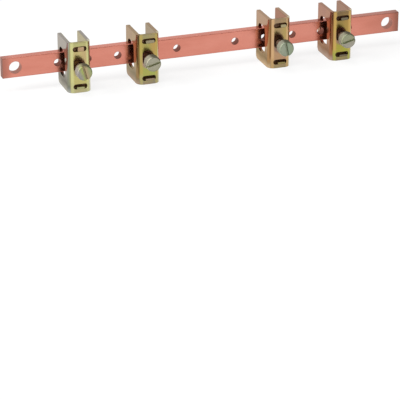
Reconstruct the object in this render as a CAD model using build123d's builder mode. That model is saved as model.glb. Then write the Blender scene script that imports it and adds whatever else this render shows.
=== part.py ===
from build123d import *
import os

# A flat copper busbar with four screw clamps threaded onto it.
# Millimetres. +X runs along the bar, the clamps' screws face -Y, +Z is up.
# The origin is the middle of the two end fixing holes, on the bar's rear face.

# Copper bar
bar_length = 245.0
bar_height = 12.0
bar_thickness = 5.0
bar_edge_radius = 0.35
fixing_hole_diameter = 7.2
fixing_hole_inset = 7.5
small_hole_diameter = 4.3
small_hole_pitch = 18.0
small_holes_each_side = 5

# Folded cage of a clamp
clamp_places = (-80.5, -39.3, 41.4, 80.7)
cage_width = 13.8
cage_height = 30.0
sheet_thickness = 2.0
bend_inner_radius = 1.2
rear_strip_width = 3.2
bar_seat_clearance = 0.3
cheek_rear_top_radius = 1.0
cheek_rear_foot_radius = 2.5

# Window through both cheeks of a cage
window_height = 17.0
window_depth = 11.1
window_corner_radius = 3.5

# Slots in the cage's front plate
slot_width = 8.2
slot_height = 3.0
slot_corner_radius = 1.4
slot_edge_margin = 2.25

# Threaded plate behind the front plate
plate_thickness = 3.0
plate_side_clearance = 0.15
plate_face_clearance = 0.05
plate_edge_chamfer = 1.0
plate_to_window = 2.0
plate_slot_overlap = 0.6
tongue_width = 8.8
tongue_height = 28.0
tongue_set_back = 1.2
lug_width = 4.6
lug_height = 1.6
lug_stand_out = 0.2
lug_seat_clearance = 0.1

# Clamping screw
screw_diameter = 6.0
screw_head_diameter = 9.0
screw_head_height = 5.2
screw_shank_length = 12.0
screw_stand_outs = (9.8, 9.0, 10.8, 9.7)
screw_turns_deg = (105.0, 15.5, 100.0, 14.5)
screw_head_chamfer = 0.5
screw_tip_chamfer = 0.8
screw_slot_width = 1.3
screw_slot_depth = 1.4
thread_radial_clearance = 0.05
passage_radial_clearance = 0.35

# Places worked out from the sizes above
window_rear = bar_seat_clearance
window_front = window_rear - window_depth
cage_rear = window_rear + rear_strip_width
front_inner = window_front - plate_to_window - plate_thickness - plate_face_clearance
cage_front = front_inner - sheet_thickness
fixing_hole_pitch = bar_length - 2 * fixing_hole_inset
slot_rise = cage_height / 2 - slot_edge_margin - slot_height / 2
lug_drop = slot_height / 2 - lug_seat_clearance - lug_height / 2

os.makedirs("parts", exist_ok=True)


def make_busbar():
    """Drawn flat copper bar, drilled through from front to back."""
    with BuildPart() as busbar:
        with BuildSketch(Plane.YZ.offset(-bar_length / 2)):
            with Locations((-bar_thickness / 2, 0)):
                RectangleRounded(bar_thickness, bar_height, bar_edge_radius)
        extrude(amount=bar_length)
        with BuildSketch(Plane.XZ.offset(bar_thickness)):
            with GridLocations(fixing_hole_pitch, 0, 2, 1):
                Circle(fixing_hole_diameter / 2)
            steps = [n for n in range(-small_holes_each_side, small_holes_each_side + 1) if n != 0]
            with Locations([(n * small_hole_pitch, 0) for n in steps]):
                Circle(small_hole_diameter / 2)
        extrude(amount=-bar_thickness, mode=Mode.SUBTRACT)
    return busbar


def make_cage(centre):
    """U-shaped cage folded from one strip of sheet steel, open at the rear, top and foot."""
    with BuildPart() as cage:
        with BuildSketch(Plane.XY.offset(-cage_height / 2)):
            with BuildLine():
                middle = (cage_width - sheet_thickness) / 2
                FilletPolyline(
                    (centre - middle, cage_rear),
                    (centre - middle, cage_front + sheet_thickness / 2),
                    (centre + middle, cage_front + sheet_thickness / 2),
                    (centre + middle, cage_rear),
                    radius=bend_inner_radius + sheet_thickness / 2,
                )
            trace(line_width=sheet_thickness)
        extrude(amount=cage_height)
        rear_corners = cage.edges().filter_by(Axis.X).group_by(Axis.Y)[-1]
        fillet(rear_corners.group_by(Axis.Z)[-1], radius=cheek_rear_top_radius)
        rear_corners = cage.edges().filter_by(Axis.X).group_by(Axis.Y)[-1]
        fillet(rear_corners.group_by(Axis.Z)[0], radius=cheek_rear_foot_radius)
        with BuildSketch(Plane.YZ.offset(centre - cage_width / 2)):
            with Locations(((window_rear + window_front) / 2, 0)):
                RectangleRounded(window_depth, window_height, window_corner_radius)
        extrude(amount=cage_width, mode=Mode.SUBTRACT)
        with BuildSketch(Plane.XZ.offset(-cage_front)):
            with Locations((centre, slot_rise), (centre, -slot_rise)):
                RectangleRounded(slot_width, slot_height, slot_corner_radius)
            with Locations((centre, 0)):
                Circle(screw_diameter / 2 + passage_radial_clearance)
        extrude(amount=-sheet_thickness - bend_inner_radius, mode=Mode.SUBTRACT)
    return cage


def make_threaded_plate(centre):
    """Steel plate tapped for the screw, stepped at both ends into a tongue with a narrow forward lug."""
    plate_width = cage_width - 2 * sheet_thickness - 2 * plate_side_clearance
    body_height = 2 * (slot_rise - slot_height / 2 + plate_slot_overlap)
    plate_front = front_inner + plate_face_clearance
    plate_back = plate_front + plate_thickness
    lug_front = cage_front - lug_stand_out
    with BuildPart() as plate:
        with BuildSketch(Plane.XZ.offset(-plate_front)):
            with Locations((centre, 0)):
                Rectangle(plate_width, body_height)
        extrude(amount=-plate_thickness)
        front_edges = plate.edges().group_by(Axis.Y)[0]
        chamfer(front_edges, length=plate_edge_chamfer)
        with BuildSketch(Plane.XZ.offset(-plate_back)):
            with Locations((centre, 0)):
                Rectangle(tongue_width, tongue_height)
        extrude(amount=plate_thickness - tongue_set_back)
        with BuildSketch(Plane.XZ.offset(-plate_back)):
            with Locations((centre, slot_rise - lug_drop), (centre, -slot_rise - lug_drop)):
                Rectangle(lug_width, lug_height)
        extrude(amount=plate_back - lug_front)
        with BuildSketch(Plane.XZ.offset(-plate_front)):
            with Locations((centre, 0)):
                Circle(screw_diameter / 2)
        extrude(amount=-plate_thickness, mode=Mode.SUBTRACT)
    return plate


def make_screw(centre, stand_out, turn):
    """Slotted cheese-head screw: a turned head with a sawn slot, and a straight shank."""
    shank_radius = screw_diameter / 2 - thread_radial_clearance
    head_end = cage_front - stand_out
    with BuildPart() as screw:
        with BuildSketch(Plane.XZ.offset(-head_end)):
            with Locations((centre, 0)):
                Circle(screw_head_diameter / 2)
        extrude(amount=-screw_head_height)
        with BuildSketch(Plane.XZ.offset(-head_end - screw_head_height)):
            with Locations((centre, 0)):
                Circle(shank_radius)
        extrude(amount=-screw_shank_length)
        rims = screw.edges().filter_by(GeomType.CIRCLE).sort_by(Axis.Y)
        chamfer(rims[0], length=screw_head_chamfer)
        rims = screw.edges().filter_by(GeomType.CIRCLE).sort_by(Axis.Y)
        chamfer(rims[-1], length=screw_tip_chamfer)
        with BuildSketch(Plane.XZ.offset(-head_end)):
            with Locations(Location((centre, 0, 0), (0, 0, turn))):
                Rectangle(2 * screw_head_diameter, screw_slot_width)
        extrude(amount=-screw_slot_depth, mode=Mode.SUBTRACT)
    return screw


busbar = make_busbar()
busbar.part.label = "busbar"
export_step(busbar.part, "parts/busbar.step")

for number, (centre, stand_out, turn) in enumerate(
    zip(clamp_places, screw_stand_outs, screw_turns_deg), start=1
):
    cage = make_cage(centre)
    cage.part.label = f"clamp_cage_{number}"
    export_step(cage.part, f"parts/clamp_cage_{number}.step")

    plate = make_threaded_plate(centre)
    plate.part.label = f"threaded_plate_{number}"
    export_step(plate.part, f"parts/threaded_plate_{number}.step")

    screw = make_screw(centre, stand_out, turn)
    screw.part.label = f"clamp_screw_{number}"
    export_step(screw.part, f"parts/clamp_screw_{number}.step")
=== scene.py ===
import math
import bpy
from mathutils import Euler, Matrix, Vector


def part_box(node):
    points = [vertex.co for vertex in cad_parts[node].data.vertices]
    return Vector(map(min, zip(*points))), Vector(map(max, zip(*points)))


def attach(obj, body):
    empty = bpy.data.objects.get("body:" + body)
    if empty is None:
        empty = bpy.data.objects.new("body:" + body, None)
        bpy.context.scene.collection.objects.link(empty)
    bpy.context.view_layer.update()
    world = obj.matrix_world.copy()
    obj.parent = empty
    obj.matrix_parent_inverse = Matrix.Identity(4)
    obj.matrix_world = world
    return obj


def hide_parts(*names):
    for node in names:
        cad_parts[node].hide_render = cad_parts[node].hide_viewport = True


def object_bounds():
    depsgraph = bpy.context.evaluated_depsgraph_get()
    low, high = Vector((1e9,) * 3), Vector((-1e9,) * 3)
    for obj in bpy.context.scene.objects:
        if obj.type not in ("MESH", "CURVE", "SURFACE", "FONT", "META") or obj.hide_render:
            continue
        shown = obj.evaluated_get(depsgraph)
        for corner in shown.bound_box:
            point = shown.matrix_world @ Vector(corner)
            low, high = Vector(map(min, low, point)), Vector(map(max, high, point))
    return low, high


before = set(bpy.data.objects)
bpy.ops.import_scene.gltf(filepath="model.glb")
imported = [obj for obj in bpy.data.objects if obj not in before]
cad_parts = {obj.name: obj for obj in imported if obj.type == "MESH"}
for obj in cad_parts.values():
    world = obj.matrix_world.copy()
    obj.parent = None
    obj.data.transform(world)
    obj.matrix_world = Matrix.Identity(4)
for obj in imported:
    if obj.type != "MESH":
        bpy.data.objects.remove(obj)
cad_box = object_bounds()

# The copper bar: one length of drawn flat bar, cut to length and drilled from the front. The faces
# keep the long fine lines of the drawing die. The copper is darker at both ends, and painted shade
# darkens the bores, the top face and the bar towards its right end.

mm = 0.001
bar_low, bar_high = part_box("busbar")
bar_edge_radius = 0.35 * mm
bar_deburr = 0.15 * mm
fixing_hole_place = 115 * mm
fixing_hole_radius = 3.6 * mm
small_hole_pitch = 18 * mm
small_hole_radius = 2.15 * mm
small_holes_each_side = 5

rose_tints = [(0.3, (0.61, 0.215, 0.155)), (0.5, (0.68, 0.25, 0.185)), (0.7, (0.73, 0.29, 0.22))]
# Darker at both ends of the bar, and painted shade that darkens it towards the right end.
ends_and_right_shade_tint = (0.30, 0.12, 0.085)
# Painted shade on the bar's top face.
top_face_shade_tint = (0.22, 0.12, 0.10)
sawn_tint = (0.20, 0.11, 0.08)
# Painted shade on the walls of the drilled bores, darker on the lower wall; the fixing bores get a
# lighter painted shade.
bore_roof_shade_tint = (0.44, 0.17, 0.125)
bore_floor_shade_tint = (0.24, 0.08, 0.055)
fixing_bore_shade_tint = (0.74, 0.42, 0.34)


def take_up(piece):
    """Pick one piece alone, as the tools need."""
    bpy.ops.object.select_all(action="DESELECT")
    piece.select_set(True)
    bpy.context.view_layer.objects.active = piece


def pick(piece, what, wanted):
    """Go into edit mode with only the EDGES or VERTICES picked that pass the test."""
    take_up(piece)
    bpy.context.tool_settings.mesh_select_mode = (what == "VERTICES", what == "EDGES", False)
    bpy.ops.object.mode_set(mode="EDIT")
    bpy.ops.mesh.select_all(action="DESELECT")
    bpy.ops.object.mode_set(mode="OBJECT")
    points = piece.data.vertices
    if what == "EDGES":
        for edge in piece.data.edges:
            edge.select = wanted(points[edge.vertices[0]].co, points[edge.vertices[1]].co)
    else:
        for point in points:
            point.select = wanted(point.co)
    bpy.ops.object.mode_set(mode="EDIT")


def round_over(piece, wanted, radius, steps, what="EDGES"):
    """Round the edges, or the corner points of a thin sheet, that pass the test."""
    pick(piece, what, wanted)
    bpy.ops.mesh.bevel(offset=radius, segments=steps, affect=what)
    bpy.ops.object.mode_set(mode="OBJECT")


def lengthwise(a, b):
    """True of an edge that runs along X."""
    return abs(a.y - b.y) < 1e-7 and abs(a.z - b.z) < 1e-7


def saw_block(low, high):
    """A square-edged blank between two corners."""
    bpy.ops.object.select_all(action="DESELECT")
    middle = [(a + b) / 2 for a, b in zip(low, high)]
    sides = [b - a for a, b in zip(low, high)]
    bpy.ops.mesh.primitive_cube_add(size=1, location=middle, scale=sides)
    bpy.ops.object.transform_apply(location=True, rotation=True, scale=True)
    return bpy.context.object


def turn_rod(end, length, radius, sides=48):
    """A round blank that runs along +Y from its end point."""
    bpy.ops.object.select_all(action="DESELECT")
    bpy.ops.mesh.primitive_cylinder_add(
        vertices=sides,
        radius=radius,
        depth=length,
        location=(end[0], end[1] + length / 2, end[2]),
        rotation=(math.pi / 2, 0, 0),
    )
    bpy.ops.object.transform_apply(location=True, rotation=True, scale=True)
    return bpy.context.object


def run_modifier(piece, kind, **settings):
    take_up(piece)
    modifier = piece.modifiers.new(kind.lower(), kind)
    for key, value in settings.items():
        setattr(modifier, key, value)
    bpy.ops.object.modifier_apply(modifier=modifier.name)


def cut_away(piece, tool):
    run_modifier(piece, "BOOLEAN", object=tool, operation="DIFFERENCE", solver="EXACT")
    bpy.data.objects.remove(tool)


def break_edges(piece, radius, steps):
    """Take the sharpness off every edge, and shade the flats flat and the rounds round."""
    run_modifier(
        piece,
        "BEVEL",
        width=radius,
        segments=steps,
        limit_method="ANGLE",
        angle_limit=math.radians(50),
    )
    bpy.ops.object.shade_smooth_by_angle(angle=math.radians(40))
    run_modifier(piece, "WEIGHTED_NORMAL", keep_sharp=True)


def stand_for(piece, node, body, finish):
    """Give the piece its finish and name, and let it take its node's place on its body."""
    piece.name = f"{node}_finished"
    piece.data.name = piece.name
    piece.data.materials.clear()
    piece.data.materials.append(finish.material)
    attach(piece, body)
    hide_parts(node)


class Reading:
    """A value over the surface, from a node's output, that joins in sums like a plain number."""

    def __init__(self, mixture, socket):
        self.mixture = mixture
        self.socket = socket

    def work(self, operation, first, second=0.0):
        inputs = {0: first, 1: second}
        return self.mixture.node("ShaderNodeMath", {"operation": operation}, inputs)

    def __add__(self, other):
        return self.work("ADD", self, other)

    def __radd__(self, other):
        return self.work("ADD", other, self)

    def __sub__(self, other):
        return self.work("SUBTRACT", self, other)

    def __rsub__(self, other):
        return self.work("SUBTRACT", other, self)

    def __mul__(self, other):
        return self.work("MULTIPLY", self, other)

    def __rmul__(self, other):
        return self.work("MULTIPLY", other, self)

    def __abs__(self):
        return self.work("ABSOLUTE", self)

    def remainder(self, other):
        return self.work("FLOORED_MODULO", self, other)

    def distance(self, other):
        """How far off the corner is, when this value and the other are the two legs."""
        return self.work("SQRT", self * self + other * other)


class Mixture:
    """A tree of nodes being laid out, for a finish or for the light around the set."""

    def __init__(self, tree):
        self.tree = tree

    def node(self, kind, settings, inputs, output=0):
        made = self.tree.nodes.new(kind)
        for key, value in settings.items():
            if key == "stops":
                self.set_stops(made.color_ramp, value)
            else:
                setattr(made, key, value)
        for key, value in inputs.items():
            if isinstance(value, Reading):
                self.tree.links.new(value.socket, made.inputs[key])
            else:
                made.inputs[key].default_value = value
        return Reading(self, made.outputs[output])

    def set_stops(self, ramp, stops):
        while len(ramp.elements) < len(stops):
            ramp.elements.new(0.5)
        for element, (position, colour) in zip(ramp.elements, stops):
            element.position = position
            element.color = (*colour, 1)

    def axes(self, vector):
        return [self.node("ShaderNodeSeparateXYZ", {}, {"Vector": vector}, name) for name in "XYZ"]

    def ramp(self, value, stops):
        return self.node("ShaderNodeValToRGB", {"stops": stops}, {"Fac": value})

    def band(self, value, low, high):
        """0 at low and 1 at high, eased between."""
        inputs = {"Value": value, "From Min": low, "From Max": high}
        return self.node("ShaderNodeMapRange", {"interpolation_type": "SMOOTHSTEP"}, inputs)

    def stretch(self, value, rising, falling):
        """1 on a stretch that is eased in over one pair of places and out over another."""
        return self.band(value, *rising) * (1 - self.band(value, *falling))

    def mix(self, mask, first, second):
        ends = [(*c, 1) if isinstance(c, tuple) else c for c in (first, second)]
        inputs = {0: mask, 6: ends[0], 7: ends[1]}
        return self.node("ShaderNodeMix", {"data_type": "RGBA"}, inputs, 2)


class Finish(Mixture):
    """A finish being mixed: its material, its shader and the surface's own coordinates."""

    def __init__(self, name, **constants):
        self.material = bpy.data.materials.new(name)
        self.material.use_nodes = True
        super().__init__(self.material.node_tree)
        self.shader = self.tree.nodes["Principled BSDF"]
        for socket, value in constants.items():
            self.shader.inputs[socket.replace("_", " ")].default_value = value
        self.place = self.node("ShaderNodeTexCoord", {}, {}, "Object")

    def centred(self, middle, scale):
        """The surface's coordinates from a middle point, stretched by a scale."""
        shift = [-m * s for m, s in zip(middle, scale)]
        inputs = {"Vector": self.place, "Location": shift, "Scale": scale}
        return self.node("ShaderNodeMapping", {}, inputs)

    def places(self, middle=(0, 0, 0)):
        """X, Y and Z of the surface from a middle point, in millimetres."""
        return self.axes(self.centred(middle, (1 / mm, 1 / mm, 1 / mm)))

    def noise(self, middle, scale, detail, roughness):
        vector = self.centred(middle, scale)
        inputs = {"Vector": vector, "Scale": 1.0, "Detail": detail, "Roughness": roughness}
        return self.node("ShaderNodeTexNoise", {}, inputs, "Fac")

    def feed(self, socket, value):
        self.tree.links.new(value.socket, self.shader.inputs[socket])

    def bump(self, height, strength, distance):
        inputs = {"Height": height, "Strength": strength, "Distance": distance}
        self.feed("Normal", self.node("ShaderNodeBump", {}, inputs))


def drawn_copper():
    """Rose metal with drawing lines, darker at the ends, with painted shade to the right, on the
    top face and in the bores. Places are in mm.
    """
    copper = Finish("drawn_copper", Metallic=1.0, Specular_Tint=(0.94, 0.80, 0.78, 1))
    lines = copper.noise((0, 0, 0), (12, 400, 2600), 4.0, 0.6)
    clouds = copper.noise((0, 0, 0), (45, 90, 120), 3.0, 0.5)
    along, depth, height = copper.places()
    from_middle = abs(along)
    bar_end, bar_front, bar_top = bar_high[0] / mm, bar_low[1] / mm, bar_high[2] / mm

    worn_and_shaded = copper.ramp(clouds * 0.65 + lines * 0.35, rose_tints)
    # Darker near both ends, and painted shade that darkens the bar from 30 mm, and more from 95 mm,
    # towards the right end.
    ends_and_right_shade = copper.band(from_middle, bar_end - 6.5, bar_end - 0.1) * 0.6
    ends_and_right_shade = ends_and_right_shade + copper.band(along, 30, 70) * 0.06 + copper.band(along, 95, 122) * 0.3
    worn_and_shaded = copper.mix(ends_and_right_shade, worn_and_shaded, ends_and_right_shade_tint)
    # Painted shade on the top face, stronger towards the right.
    top_face = copper.band(height, bar_top - 0.2, bar_top - 0.02)
    worn_and_shaded = copper.mix(top_face * (0.15 + copper.band(along, 30, 75) * 0.35), worn_and_shaded, top_face_shade_tint)
    sawn = copper.band(from_middle, bar_end - 0.3, bar_end - 0.05)
    worn_and_shaded = copper.mix(sawn * 0.7, worn_and_shaded, sawn_tint)

    def bored(off_centre, radius):
        """1 on the wall of a bore, from how far along the bar its centre is."""
        return 1 - copper.band(off_centre.distance(height), radius + 0.08, radius + 0.18)

    pitch = small_hole_pitch / mm
    last_hole = small_holes_each_side * pitch
    off_small_hole = (along + pitch / 2).remainder(pitch) - pitch / 2
    row = copper.stretch(
        from_middle, (pitch / 2, pitch / 2 + 1), (last_hole + pitch / 2, last_hole + pitch / 2 + 1)
    )
    small_bores = bored(off_small_hole, small_hole_radius / mm) * row
    fixing_bores = bored(fixing_hole_place / mm - from_middle, fixing_hole_radius / mm)
    bores = small_bores + fixing_bores
    # Painted shade on the bore walls, darker towards the lower wall and lighter in the fixing
    # bores.
    bore_shade_tint = copper.mix(copper.band(height, 1.2, -1.0), bore_roof_shade_tint, bore_floor_shade_tint)
    bore_shade_tint = copper.mix(fixing_bores * 0.35, bore_shade_tint, fixing_bore_shade_tint)
    copper.feed("Base Color", copper.mix(bores, worn_and_shaded, bore_shade_tint))

    corner = copper.band(abs(height), bar_top - 0.5, bar_top - 0.3)
    corner = corner * copper.band(depth, bar_front + 0.5, bar_front + 0.3)
    drawn = 0.12 + lines * 0.12 + clouds * 0.05
    copper.feed("Roughness", drawn + bores * 0.25 + sawn * 0.2 + corner * 0.4)
    copper.bump(lines, 0.2, 0.1 * mm)
    return copper


bar = saw_block(bar_low, bar_high)
round_over(bar, lengthwise, bar_edge_radius, 3)
drillings = [(side * fixing_hole_place, fixing_hole_radius) for side in (-1, 1)]
for step in range(1, small_holes_each_side + 1):
    drillings += [(side * step * small_hole_pitch, small_hole_radius) for side in (-1, 1)]
for place, radius in drillings:
    drill = turn_rod((place, bar_low[1] - mm, 0), bar_high[1] - bar_low[1] + 2 * mm, radius)
    cut_away(bar, drill)
break_edges(bar, bar_deburr, 2)
stand_for(bar, "busbar", "bar", drawn_copper())

# The cages: one strip of sheet steel each, folded into a U round the bar and punched with a window
# through both cheeks, two slots in the front and a hole for the screw. Zinc plated and passivated
# yellow, so that the tint shifts over the sheet between olive, gold and pink. Painted on top are a
# highlight and reflections on the folds, a reflection of the bar next to the window, light on the
# right fold, shade in the window and a reflection of the screw head round its hole.

cage_height = 30 * mm
sheet = 2.0 * mm
fold_radius = 2.9 * mm
rear_top_radius = 1.0 * mm
rear_foot_radius = 2.5 * mm
window_rear = 0.3 * mm
window_front = -10.8 * mm
window_half_height = 8.5 * mm
window_corner = 3.5 * mm
slot_half_width = 4.1 * mm
slot_low = 9.75 * mm
slot_high = 12.75 * mm
slot_corner = 1.4 * mm
passage_radius = 3.35 * mm
sheet_edge = 0.28 * mm

fold_centre_side = 3.7
fold_centre_depth = -14.65
front_stops = (0.03, 0.2, 0.8, 0.97)
cheek_stops = (0.03, 0.15, 0.5, 0.9)
# Painted light that brightens the right fold.
far_fold_painted_light_tint = (0.85, 0.85, 0.62)
window_shade_tint = (0.10, 0.04, 0.03)
sheared_tint = (0.20, 0.16, 0.10)

# Front and cheek tints go from the foot to the top, and the fifth drifts through the others. Fold
# tints are those of the painted highlight along the fold, of its foot and of the thin painted dark
# reflection next to it. Strip tints are painted reflections next to the window and where the sheet
# starts to turn. The head reflection tint is a painted reflection of the screw head round the hole.
cage_tints = (
    {
        "front_tints": (
            (0.455, 0.43, 0.235),
            (0.50, 0.47, 0.165),
            (0.56, 0.46, 0.20),
            (0.46, 0.45, 0.19),
            (0.52, 0.37, 0.19),
        ),
        "cheek_tints": (
            (0.37, 0.38, 0.34),
            (0.10, 0.11, 0.10),
            (0.31, 0.31, 0.29),
            (0.36, 0.35, 0.35),
            (0.37, 0.36, 0.34),
        ),
        "fold_highlight_and_reflection_tints": ((0.64, 0.63, 0.28), (0.56, 0.55, 0.27), (0.34, 0.33, 0.17)),
        "strip_reflection_tints": ((0.44, 0.43, 0.37), (0.27, 0.28, 0.19)),
        "inside_tint": (0.42, 0.39, 0.25),
        "head_reflection_tint": (0.34, 0.26, 0.14),
    },
    {
        "front_tints": (
            (0.28, 0.24, 0.17),
            (0.36, 0.41, 0.105),
            (0.37, 0.33, 0.10),
            (0.34, 0.30, 0.15),
            (0.52, 0.30, 0.10),
        ),
        "cheek_tints": (
            (0.40, 0.29, 0.20),
            (0.21, 0.17, 0.085),
            (0.40, 0.29, 0.18),
            (0.39, 0.27, 0.18),
            (0.42, 0.31, 0.18),
        ),
        "fold_highlight_and_reflection_tints": ((0.48, 0.37, 0.10), (0.46, 0.40, 0.16), (0.16, 0.09, 0.025)),
        "strip_reflection_tints": ((0.52, 0.42, 0.22), (0.36, 0.22, 0.09)),
        "inside_tint": (0.33, 0.26, 0.18),
        "head_reflection_tint": (0.40, 0.17, 0.26),
    },
    {
        "front_tints": (
            (0.30, 0.24, 0.135),
            (0.45, 0.26, 0.165),
            (0.38, 0.27, 0.13),
            (0.34, 0.23, 0.14),
            (0.46, 0.34, 0.11),
        ),
        "cheek_tints": (
            (0.57, 0.40, 0.23),
            (0.26, 0.17, 0.07),
            (0.42, 0.28, 0.16),
            (0.46, 0.30, 0.21),
            (0.47, 0.29, 0.19),
        ),
        "fold_highlight_and_reflection_tints": ((0.68, 0.43, 0.22), (0.56, 0.36, 0.15), (0.18, 0.075, 0.02)),
        "strip_reflection_tints": ((0.60, 0.43, 0.23), (0.45, 0.25, 0.10)),
        "inside_tint": (0.36, 0.165, 0.116),
        "head_reflection_tint": (0.20, 0.13, 0.12),
    },
    {
        "front_tints": (
            (0.28, 0.23, 0.13),
            (0.38, 0.37, 0.06),
            (0.30, 0.21, 0.07),
            (0.21, 0.14, 0.07),
            (0.44, 0.28, 0.08),
        ),
        "cheek_tints": (
            (0.46, 0.32, 0.25),
            (0.27, 0.13, 0.065),
            (0.45, 0.25, 0.17),
            (0.41, 0.21, 0.165),
            (0.46, 0.24, 0.165),
        ),
        "fold_highlight_and_reflection_tints": ((0.61, 0.39, 0.12), (0.42, 0.42, 0.09), (0.20, 0.07, 0.02)),
        "strip_reflection_tints": ((0.58, 0.38, 0.22), (0.40, 0.18, 0.085)),
        "inside_tint": (0.35, 0.20, 0.15),
        "head_reflection_tint": (0.28, 0.12, 0.17),
    },
)


def upright(a, b):
    """True of an edge that runs along Z."""
    return abs(a.x - b.x) < 1e-7 and abs(a.y - b.y) < 1e-7


def front_to_back(a, b):
    """True of an edge that runs along Y."""
    return abs(a.x - b.x) < 1e-7 and abs(a.z - b.z) < 1e-7


def fold_cage(low, high):
    """Fold the strip at mid-thickness about x = 0, give it its thickness, and punch it."""
    wall = low[1] + sheet / 2
    half_width = (high[0] - low[0]) / 2
    half_height = (high[2] - low[2]) / 2
    rear = high[1]
    bpy.ops.object.select_all(action="DESELECT")
    bpy.ops.mesh.primitive_plane_add(size=2, location=(0, wall, 0), rotation=(math.pi / 2, 0, 0))
    cage = bpy.context.object
    cage.scale = (half_width - sheet / 2, half_height, 1)
    bpy.ops.object.transform_apply(location=True, rotation=True, scale=True)
    pick(cage, "EDGES", upright)
    bpy.ops.mesh.extrude_region_move(TRANSFORM_OT_translate={"value": (0, rear - wall, 0)})
    bpy.ops.object.mode_set(mode="OBJECT")
    near = 1e-6
    round_over(cage, lambda a, b: upright(a, b) and a.y < wall + near, fold_radius, 7)
    round_over(cage, lambda p: p.y > rear - near and p.z > 0, rear_top_radius, 4, "VERTICES")
    round_over(
        cage,
        lambda p: p.y > rear - near and p.z < near - half_height,
        rear_foot_radius,
        6,
        "VERTICES",
    )
    bpy.ops.object.mode_set(mode="EDIT")
    bpy.ops.mesh.select_all(action="SELECT")
    bpy.ops.mesh.normals_make_consistent(inside=False)
    bpy.ops.object.mode_set(mode="OBJECT")
    run_modifier(cage, "SOLIDIFY", thickness=sheet, offset=0.0, use_even_offset=True)
    window = saw_block(
        (-half_width - mm, window_front, -window_half_height),
        (half_width + mm, window_rear, window_half_height),
    )
    round_over(window, lengthwise, window_corner, 8)
    cut_away(cage, window)
    for foot, head in ((slot_low, slot_high), (-slot_high, -slot_low)):
        slot = saw_block(
            (-slot_half_width, low[1] - mm, foot),
            (slot_half_width, low[1] + sheet + 1.5 * mm, head),
        )
        round_over(slot, front_to_back, slot_corner, 5)
        cut_away(cage, slot)
    cut_away(cage, turn_rod((0, low[1] - mm, 0), sheet + 2 * mm, passage_radius))
    break_edges(cage, sheet_edge, 3)
    return cage


def copy_to(pattern, place, turn=0.0):
    """One more of the same piece, with a mesh of its own, turned about Y and set in its place."""
    take_up(pattern)
    bpy.ops.object.duplicate(linked=False)
    copy = bpy.context.object
    copy.rotation_euler = (0, turn, 0)
    copy.location = place
    bpy.ops.object.transform_apply(location=True, rotation=True, scale=True)
    return copy


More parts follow.
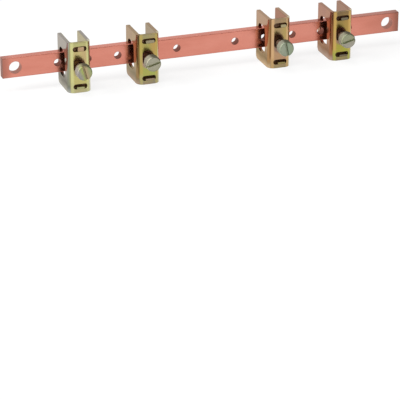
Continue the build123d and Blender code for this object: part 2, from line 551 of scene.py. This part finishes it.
def yellow_zinc(
    name, middle, front_tints, cheek_tints, fold_highlight_and_reflection_tints, strip_reflection_tints, inside_tint, head_reflection_tint
):
    """Plated sheet, tinted up the front and the cheeks, with painted highlights, light and
    reflections round the folds and next to the window, painted shade in the window, and a painted
    reflection of the screw head. Places are in mm.
    """
    zinc = Finish(name, Metallic=1.0, Specular_Tint=(0.86, 0.80, 0.72, 1))
    clouds = zinc.noise(middle, (190, 150, 95), 3.0, 0.55)
    grain = zinc.noise(middle, (900, 900, 2400), 3.0, 0.6)
    drift = zinc.band(clouds, 0.42, 0.64)
    across, depth, height = zinc.places(middle)
    side = abs(across)
    rise = height * (mm / cage_height) + 0.44 + clouds * 0.12

    front = zinc.ramp(rise, list(zip(front_stops, front_tints)))
    rightward = zinc.band(across, -0.5, 3.5) * zinc.stretch(height, (-6, 0), (11, 14))
    front = zinc.mix(drift * 0.25 + rightward * 0.45, front, front_tints[4])
    # Painted reflection of the screw head, left of and round the hole in the front.
    head_reflection = zinc.band(across.distance(height), 6.2, 4.6) * zinc.band(across, 2.0, -1.0)
    front = zinc.mix(head_reflection * 0.6, front, head_reflection_tint)

    round_fold = (fold_centre_depth - depth) - (side - fold_centre_side)
    cheek = zinc.ramp(rise, list(zip(cheek_stops, cheek_tints)))
    cheek = zinc.mix(drift * zinc.band(height, -13, -5) * 0.6, cheek, cheek_tints[4])
    # Painted reflection on the cheek where the sheet starts to turn.
    turn_reflection = zinc.band(round_fold, -3.6, -2.8) * zinc.band(abs(height), 13, 10)
    cheek = zinc.mix(turn_reflection * 0.8, cheek, strip_reflection_tints[1])
    # Painted reflection of the copper bar on the cheek in front of the window.
    bar_reflection = zinc.stretch(height, (-5, -1), (7, 11))
    bar_reflection = bar_reflection * zinc.stretch(depth, (-15.4, -13.4), (-11.2, -10.2))
    cheek = zinc.mix(bar_reflection, cheek, strip_reflection_tints[0])

    plating_and_painted_light = zinc.mix(zinc.band(round_fold, -0.2, 0.8), cheek, front)
    # Painted highlight along the fold, with its own tint lower down.
    fold_highlight_tint = zinc.mix(zinc.band(height, -7, -11), fold_highlight_and_reflection_tints[0], fold_highlight_and_reflection_tints[1])
    fold_highlight = zinc.stretch(round_fold, (0.5, 1.2), (2.4, 3.6))
    plating_and_painted_light = zinc.mix(fold_highlight * 0.8, plating_and_painted_light, fold_highlight_tint)
    # A thin painted dark reflection next to the fold's highlight.
    fold_dark_reflection = zinc.stretch(round_fold, (-1.2, -0.4), (0.3, 1.0))
    fold_dark_reflection = fold_dark_reflection * zinc.band(across, 0, -1) * zinc.band(height, -11, -7)
    plating_and_painted_light = zinc.mix(fold_dark_reflection * 0.8, plating_and_painted_light, fold_highlight_and_reflection_tints[2])
    # Painted light on the right fold.
    far_fold_painted_light = zinc.band(round_fold, -3.6, -2.8) * zinc.band(across, 5.2, 5.8)
    plating_and_painted_light = zinc.mix(far_fold_painted_light * 0.7, plating_and_painted_light, far_fold_painted_light_tint)

    inside = zinc.band(side, 5.3, 4.95) * zinc.band(depth, -15.6, -15.2)
    plating_and_painted_light = zinc.mix(inside, plating_and_painted_light, inside_tint)
    shaded = inside * zinc.band(abs(height), 9.5, 7.5)
    plating_and_painted_light = zinc.mix(shaded * 0.5, plating_and_painted_light, window_shade_tint)
    sheared = zinc.band(abs(height), 14.72, 14.95)
    zinc.feed("Base Color", zinc.mix(sheared * 0.25, plating_and_painted_light, sheared_tint))
    zinc.feed("Roughness", 0.12 + grain * 0.14 + sheared * 0.25)
    zinc.bump(grain, 0.05, 0.1 * mm)
    return zinc


cage_pattern = fold_cage(*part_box("clamp_cage_1"))
for number, tints in enumerate(cage_tints, start=1):
    low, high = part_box(f"clamp_cage_{number}")
    middle = ((low[0] + high[0]) / 2, 0, 0)
    cage = copy_to(cage_pattern, middle)
    finish = yellow_zinc(f"yellow_zinc_sheet_{number}", middle, **tints)
    stand_for(cage, f"clamp_cage_{number}", f"clamp_{number}", finish)
bpy.data.objects.remove(cage_pattern)

# The threaded plates: a thick steel plate inside each cage, tapped for the screw. Its ends step
# back to a tongue, and a lug at each end reaches forward into a slot of the cage and keeps the
# plate from turning. The lugs' widths and heights differ from clamp to clamp.

plate_thickness = 3.0 * mm
body_half_height = 10.35 * mm
front_chamfer = 1.3 * mm
tongue_set_back = 1.2 * mm
tongue_half_width = 4.4 * mm
lug_feet = (9.85 * mm, -12.65 * mm)
lug_lift = 0.01 * mm
lug_root = 0.5 * mm
lug_stand_out = 0.2 * mm
lug_corner = 0.5 * mm
tap_radius = 3.0 * mm
plate_edge = 0.15 * mm

# Painted shade on the threaded plates: near-black behind and at the sides, dark brown on the front
# faces.
plate_shade_browns = [(0.35, (0.035, 0.02, 0.014)), (0.65, (0.065, 0.038, 0.025))]
tongue_front_shade_tint = (0.30, 0.19, 0.13)

# Each lug's left end, right end and height in mm, the upper lug first, and the tints of the two.
plate_makes = (
    (((-1.2, 2.4, 2.6), (-2.2, 2.4, 1.1)), (0.56, 0.38, 0.22), (0.45, 0.45, 0.22)),
    (((-1.8, 3.3, 1.8), (-2.2, 3.3, 1.1)), (0.36, 0.31, 0.20), (0.38, 0.28, 0.19)),
    (((0.2, 3.5, 1.8), (-1.4, 3.3, 1.1)), (0.42, 0.36, 0.20), (0.34, 0.28, 0.11)),
    (((-1.0, 3.3, 1.6), (-1.6, 3.3, 1.1)), (0.20, 0.17, 0.11), (0.20, 0.16, 0.10)),
)


def weld_on(piece, other):
    run_modifier(piece, "BOOLEAN", object=other, operation="UNION", solver="EXACT")
    bpy.data.objects.remove(other)


def press_plate(low, high, cage_front, lugs):
    """Chamfer the body, weld on the tongue and the two lugs, and bore the tapped hole."""
    half_width = (high[0] - low[0]) / 2
    back = high[1]
    front = back - plate_thickness
    plate = saw_block((-half_width, front, -body_half_height), (half_width, back, body_half_height))
    round_over(plate, lambda a, b: max(a.y, b.y) < front + 1e-6, front_chamfer, 1)
    tongue = saw_block(
        (-tongue_half_width, front + tongue_set_back, low[2]),
        (tongue_half_width, back, high[2]),
    )
    weld_on(plate, tongue)
    for foot, (left, right, height) in zip(lug_feet, lugs):
        lug = saw_block(
            (left * mm, cage_front - lug_stand_out, foot + lug_lift),
            (right * mm, back - lug_root, foot + height * mm),
        )
        round_over(lug, front_to_back, lug_corner, 4)
        weld_on(plate, lug)
    cut_away(plate, turn_rod((0, front - mm, 0), plate_thickness + 2 * mm, tap_radius))
    break_edges(plate, plate_edge, 2)
    return plate


def shade_painted_zinc(name, upper_tint, lower_tint):
    """Near-black painted shade over the plate, dark brown painted shade on its front faces, and
    more of the yellow on the lugs' ends. Places are in mm.
    """
    zinc = Finish(name, Metallic=1.0)
    clouds = zinc.noise((0, 0, 0), (300, 300, 300), 3.0, 0.55)
    depth, height = zinc.places()[1:]
    # Painted shade: near-black brown over the plate, dark brown on its front faces.
    plate_shade = zinc.ramp(clouds, plate_shade_browns)
    plate_shade = zinc.mix(zinc.band(depth, -14.2, -14.5), plate_shade, tongue_front_shade_tint)
    lug_tint = zinc.mix(zinc.band(height, -1, 1), lower_tint, upper_tint)
    zinc.feed("Base Color", zinc.mix(zinc.band(depth, -15.6, -16.8), plate_shade, lug_tint))
    zinc.feed("Roughness", 0.32 + clouds * 0.1)
    return zinc


cage_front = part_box("clamp_cage_1")[0][1]
for number, (lugs, upper_tint, lower_tint) in enumerate(plate_makes, start=1):
    low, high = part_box(f"threaded_plate_{number}")
    pattern = press_plate(low, high, cage_front, lugs)
    plate = copy_to(pattern, ((low[0] + high[0]) / 2, 0, 0))
    bpy.data.objects.remove(pattern)
    finish = shade_painted_zinc(f"dark_zinc_plate_{number}", upper_tint, lower_tint)
    stand_for(plate, f"threaded_plate_{number}", f"clamp_{number}", finish)

# The screws: cheese-head machine screws, turned from bar, with a sawn slot and a rolled thread, and
# zinc plated to a duller grey green than the cages. Each stands at its own depth and turn. Painted
# light brightens the saw cut, and painted shade darkens the head's side, its upper right rim, its
# back and the shank.

head_radius = 4.5 * mm
head_height = 5.2 * mm
head_rim = 0.8 * mm
slot_width = 1.3 * mm
slot_depth = 1.4 * mm
screw_edge = 0.12 * mm
thread_radius = 2.95 * mm
thread_pitch = 1.0 * mm
groove_tool = 0.55 * mm
groove_set_in = 0.02 * mm
tip_chamfer = 0.8 * mm
shank_overlap = 0.5 * mm

head_stops = (0.15, 0.4, 0.6, 0.85)
# Painted shade: on the head's side wall, its upper right rim, its back and the shank.
head_side_shade_tint = (0.31, 0.28, 0.23)
upper_rim_shade_tint = (0.09, 0.08, 0.05)
head_back_shade_tint = (0.34, 0.18, 0.26)
head_back_edge_shade_tint = (0.20, 0.13, 0.10)
shank_shade_tint = (0.10, 0.06, 0.04)

# Each slot's turn in degrees, the head's four tints across the slot, and the saw cut's tint, which
# is partly painted light.
screw_makes = (
    (
        105,
        ((0.44, 0.49, 0.25), (0.60, 0.46, 0.28), (0.47, 0.53, 0.17), (0.44, 0.41, 0.38)),
        (0.50, 0.42, 0.26),
    ),
    (
        15.5,
        ((0.47, 0.45, 0.32), (0.49, 0.47, 0.35), (0.46, 0.44, 0.33), (0.50, 0.48, 0.37)),
        (0.66, 0.67, 0.47),
    ),
    (
        100,
        ((0.38, 0.43, 0.30), (0.36, 0.43, 0.31), (0.38, 0.42, 0.32), (0.40, 0.44, 0.33)),
        (0.42, 0.46, 0.34),
    ),
    (
        14.5,
        ((0.47, 0.44, 0.37), (0.44, 0.42, 0.33), (0.41, 0.41, 0.27), (0.40, 0.42, 0.28)),
        (0.60, 0.64, 0.45),
    ),
)


def wind_groove(start, length):
    """A three-cornered cutter wound into a helix about the Y axis, apex inwards."""
    bpy.ops.object.select_all(action="DESELECT")
    bpy.ops.mesh.primitive_circle_add(
        vertices=3,
        radius=groove_tool,
        fill_type="NOTHING",
        location=(thread_radius - groove_set_in, start, 0),
        rotation=(0, 0, math.pi / 2),
    )
    groove = bpy.context.object
    bpy.ops.object.transform_apply(location=True, rotation=True, scale=True)
    run_modifier(
        groove,
        "SCREW",
        axis="Y",
        screw_offset=thread_pitch,
        iterations=math.ceil(length / thread_pitch),
        steps=36,
        render_steps=36,
        use_smooth_shade=False,
    )
    bpy.ops.object.mode_set(mode="EDIT")
    bpy.ops.mesh.select_all(action="SELECT")
    bpy.ops.mesh.fill_holes(sides=3)
    bpy.ops.mesh.select_all(action="SELECT")
    bpy.ops.mesh.normals_make_consistent(inside=False)
    bpy.ops.object.mode_set(mode="OBJECT")
    return groove


def turn_screw(length):
    """Turn and slot the head with its end at y = 0, cut the thread, and weld the two together."""
    head = turn_rod((0, 0, 0), head_height, head_radius, 64)
    round_over(head, lambda a, b: max(a.y, b.y) < 1e-6, head_rim, 3)
    reach = 10 * mm
    saw = saw_block((-reach, -mm, -slot_width / 2), (reach, slot_depth, slot_width / 2))
    cut_away(head, saw)
    break_edges(head, screw_edge, 2)
    shank_start = head_height - shank_overlap
    shank_length = length - shank_start
    shank = turn_rod((0, shank_start, 0), shank_length, thread_radius)
    round_over(shank, lambda a, b: min(a.y, b.y) > length - 1e-6, tip_chamfer, 1)
    cut_away(shank, wind_groove(shank_start - 0.7 * mm, shank_length + 1.5 * mm))
    weld_on(head, shank)
    bpy.ops.object.shade_smooth_by_angle(angle=math.radians(35))
    return head


def grey_zinc(name, middle, slot_turn, head_tints, slot_tint_and_painted_light):
    """Plated head with its saw cut partly painted light, painted shade on its side and upper right
    rim, and painted shade on its back and shank. Places are in mm.
    """
    zinc = Finish(name, Metallic=1.0, Specular_Tint=(0.9, 0.88, 0.84, 1))
    clouds = zinc.noise(middle, (320, 320, 320), 3.0, 0.55)
    across, depth, height = zinc.places(middle)
    from_axis = across.distance(height)
    turn = math.radians(slot_turn)
    from_slot = height * math.cos(turn) - across * math.sin(turn)
    over_head = from_slot * (mm / (2 * head_radius)) + 0.35 + clouds * 0.3
    plating_and_painted_light = zinc.ramp(over_head, list(zip(head_stops, head_tints)))
    # The saw cut in the head, its tint partly painted light that brightens the slot.
    sawn = zinc.band(depth, 0.2, 0.5) * (1 - zinc.band(from_axis, 4.0, 4.3))
    plating_and_painted_light = zinc.mix(sawn * 0.9, plating_and_painted_light, slot_tint_and_painted_light)
    # Painted shade on the side wall of the head.
    side = zinc.band(from_axis, 4.25, 4.4) * zinc.band(depth, 0.3, 1.0)
    plating_and_painted_light = zinc.mix(side * 0.6, plating_and_painted_light, head_side_shade_tint)
    # Painted shade along the head's upper right rim.
    upper_rim_shade = zinc.band(from_axis, 3.85, 4.3) * zinc.band(height * 0.84 + across * 0.54, 2.2, 3.8)
    plating_and_painted_light = zinc.mix(upper_rim_shade * 0.85, plating_and_painted_light, upper_rim_shade_tint)
    # Painted shade on the head's back and the shank; the purple of the back comes back as a painted
    # reflection in the cage front.
    back = zinc.mix(zinc.band(from_axis, 3.9, 4.2), head_back_shade_tint, head_back_edge_shade_tint)
    hidden_shade = zinc.mix(zinc.band(from_axis, 3.3, 3.1), back, shank_shade_tint)
    zinc.feed("Base Color", zinc.mix(zinc.band(depth, 4.6, 5.1), plating_and_painted_light, hidden_shade))
    rim = zinc.band(from_axis, 3.5, 3.9)
    zinc.feed("Roughness", 0.5 + clouds * 0.14 + rim * 0.2)
    return zinc


low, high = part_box("clamp_screw_1")
screw_pattern = turn_screw(high[1] - low[1])
for number, (slot_turn, head_tints, slot_tint_and_painted_light) in enumerate(screw_makes, start=1):
    low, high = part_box(f"clamp_screw_{number}")
    middle = ((low[0] + high[0]) / 2, low[1], 0)
    screw = copy_to(screw_pattern, middle, -math.radians(slot_turn))
    finish = grey_zinc(f"grey_green_zinc_{number}", middle, slot_turn, head_tints, slot_tint_and_painted_light)
    stand_for(screw, f"clamp_screw_{number}", f"screw_{number}", finish)
bpy.data.objects.remove(screw_pattern)

# The set: a white floor under the clamps' feet, one soft lamp above and one on the left, and a room
# that is bright behind the object and dim in front of it. The camera's own rays, and what metal
# mirrors of the floor and of the room behind, see white.

foot = cad_box[0][2]
bpy.ops.object.select_all(action="DESELECT")
bpy.ops.mesh.primitive_plane_add(size=8.0, location=(0, 0, foot))
floor = bpy.context.object
floor.name = "floor"


def background_rays(mixture):
    """1 for a ray from the camera itself, and 1 for a ray off metal or through glass."""
    camera_ray, glossy_ray, clear_ray = [
        mixture.node("ShaderNodeLightPath", {}, {}, name)
        for name in ("Is Camera Ray", "Is Glossy Ray", "Is Transmission Ray")
    ]
    return camera_ray, glossy_ray + clear_ray


paper = Finish("floor_paper", Roughness=0.9, Specular_IOR_Level=0.0)
paper.shader.inputs["Base Color"].default_value = (0.86, 0.86, 0.86, 1)
seen, mirrored = background_rays(paper)
white = paper.node("ShaderNodeEmission", {}, {"Color": (1, 1, 1, 1), "Strength": 1.0})
lit = Reading(paper, paper.shader.outputs["BSDF"])
laid = paper.node("ShaderNodeMixShader", {}, {0: (seen + mirrored) * 0.8, 1: lit, 2: white})
paper.tree.links.new(laid.socket, paper.tree.nodes["Material Output"].inputs["Surface"])
floor.data.materials.append(paper.material)

studio = bpy.data.worlds.new("studio")
bpy.context.scene.world = studio
studio.use_nodes = True
room = Mixture(studio.node_tree)
towards = room.node("ShaderNodeTexCoord", {}, {}, "Generated")
rightward, backward, skyward = room.axes(towards)
behind = room.band(backward, -0.1, 0.4)
sideways = room.band(abs(rightward), 0.3, 0.8)
upward = room.band(skyward, 0.15, 0.5)
overhead = room.band(skyward, 0.62, 0.9)
in_front = sideways * 0.42 + upward * (1 - sideways) * 0.3
around = 0.03 + (1 - behind) * in_front + behind * 0.85
level = around * (1 - overhead) + overhead * 0.4
seen, mirrored = background_rays(room)
shown = seen + mirrored * behind
strength = level * (1 - shown) + shown
backdrop = studio.node_tree.nodes["Background"]
backdrop.inputs["Color"].default_value = (1, 1, 1, 1)
studio.node_tree.links.new(strength.socket, backdrop.inputs["Strength"])


def softbox(name, place, size, power):
    """A rectangular lamp that faces the middle of the bar."""
    lamp = bpy.data.lights.new(name, "AREA")
    lamp.shape = "RECTANGLE"
    lamp.size, lamp.size_y = size
    lamp.energy = power
    box = bpy.data.objects.new(name, lamp)
    bpy.context.scene.collection.objects.link(box)
    box.location = place
    box.rotation_euler = (-Vector(place)).to_track_quat("-Z", "Y").to_euler()


softbox("top_softbox", (-0.35, -0.25, 1.5), (1.2, 0.9), 13)
softbox("left_softbox", (-1.4, -0.2, 0.9), (0.7, 0.7), 22)

camera_place = (-0.41819, -1.17053, 0.44266)
camera_azimuth = math.radians(19.574)
camera_elevation = math.radians(23.623)
frame_width = 400
focal_pixels = 2249.2
lens = bpy.data.cameras.new("camera")
camera = bpy.data.objects.new("camera", lens)
bpy.context.scene.collection.objects.link(camera)
camera.location = camera_place
camera.rotation_euler = Euler((math.pi / 2 - camera_elevation, 0, -camera_azimuth))
lens.lens = lens.sensor_width * focal_pixels / frame_width
bpy.context.scene.camera = camera
bpy.context.scene.view_settings.view_transform = "Standard"
